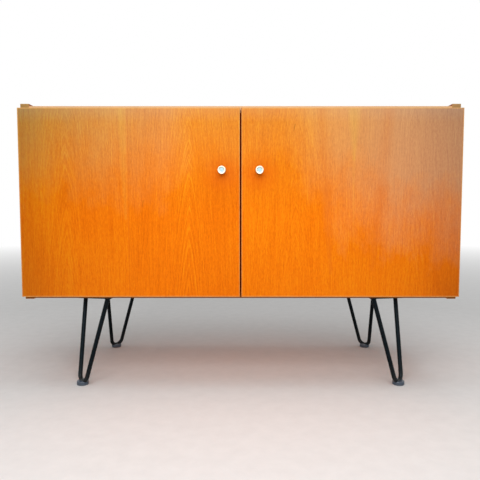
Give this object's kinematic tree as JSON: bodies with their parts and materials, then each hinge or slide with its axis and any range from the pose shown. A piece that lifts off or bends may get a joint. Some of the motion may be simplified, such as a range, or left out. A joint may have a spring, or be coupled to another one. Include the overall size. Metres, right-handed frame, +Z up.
{
  "type": "credenza",
  "caption": "Low veneered cabinet on splayed hairpin legs, with full-overlay hinged doors, small round metal knobs, a centre divider and adjustable shelves.",
  "frame": {"origin": "on the floor, under the middle of the whole object's bounding box, knobs included", "axes": "+X to the right as seen from the front, +Y to the back, +Z up; the doors face -Y"},
  "size_m": [1.2, 0.4948, 0.7913],
  "materials": {
    "teak_veneer": "satin oiled teak veneer, grain upright on doors and sides",
    "back_board": "plain brown board",
    "black_steel": "satin black paint",
    "pad_plastic": "matt dark blue-grey",
    "knob_alloy": "turned and polished",
    "hinge_brass": "plain",
    "screw_steel": "zinc plated",
    "catch_plastic": "moulded, off white"
  },
  "bodies": {
    "carcass": {"back_panel": "back_board", "bottom_panel": "teak_veneer", "centre_divider": "teak_veneer", "front_left_leg": "black_steel", "front_left_leg_screw_1": "screw_steel", "front_left_leg_screw_2": "screw_steel", "front_left_leg_screw_3": "screw_steel", "front_left_pad": "pad_plastic", "front_right_leg": "black_steel", "front_right_leg_screw_1": "screw_steel", "front_right_leg_screw_2": "screw_steel", "front_right_leg_screw_3": "screw_steel", "front_right_pad": "pad_plastic", "left_lower_hinge_carcass_leaf": "hinge_brass", "left_magnetic_catch": "catch_plastic", "left_shelf": "teak_veneer", "left_shelf_pin_inner_front": "screw_steel", "left_shelf_pin_inner_rear": "screw_steel", "left_shelf_pin_outer_front": "screw_steel", "left_shelf_pin_outer_rear": "screw_steel", "left_side_panel": "teak_veneer", "left_upper_hinge_carcass_leaf": "hinge_brass", "rear_left_leg": "black_steel", "rear_left_leg_screw_1": "screw_steel", "rear_left_leg_screw_2": "screw_steel", "rear_left_leg_screw_3": "screw_steel", "rear_left_pad": "pad_plastic", "rear_right_leg": "black_steel", "rear_right_leg_screw_1": "screw_steel", "rear_right_leg_screw_2": "screw_steel", "rear_right_leg_screw_3": "screw_steel", "rear_right_pad": "pad_plastic", "right_lower_hinge_carcass_leaf": "hinge_brass", "right_magnetic_catch": "catch_plastic", "right_shelf": "teak_veneer", "right_shelf_pin_inner_front": "screw_steel", "right_shelf_pin_inner_rear": "screw_steel", "right_shelf_pin_outer_front": "screw_steel", "right_shelf_pin_outer_rear": "screw_steel", "right_side_panel": "teak_veneer", "right_upper_hinge_carcass_leaf": "hinge_brass", "top_panel": "teak_veneer"},
    "left_door": {"left_door": "teak_veneer", "left_knob": "knob_alloy", "left_knob_screw": "screw_steel", "left_lower_hinge_door_leaf": "hinge_brass", "left_lower_hinge_pin": "screw_steel", "left_strike_plate": "screw_steel", "left_upper_hinge_door_leaf": "hinge_brass", "left_upper_hinge_pin": "screw_steel"},
    "right_door": {"right_door": "teak_veneer", "right_knob": "knob_alloy", "right_knob_screw": "screw_steel", "right_lower_hinge_door_leaf": "hinge_brass", "right_lower_hinge_pin": "screw_steel", "right_strike_plate": "screw_steel", "right_upper_hinge_door_leaf": "hinge_brass", "right_upper_hinge_pin": "screw_steel"}
  },
  "joints": [
    {"name": "left_door_hinge", "type": "hinge", "parent": "carcass", "child": "left_door", "pos_m": [-0.595, -0.21412, 0.2646], "axis": [0, 0, -1], "range_deg": [0, 100]},
    {"name": "right_door_hinge", "type": "hinge", "parent": "carcass", "child": "right_door", "pos_m": [0.595, -0.21412, 0.2646], "axis": [0, 0, 1], "range_deg": [0, 100]}
  ]
}
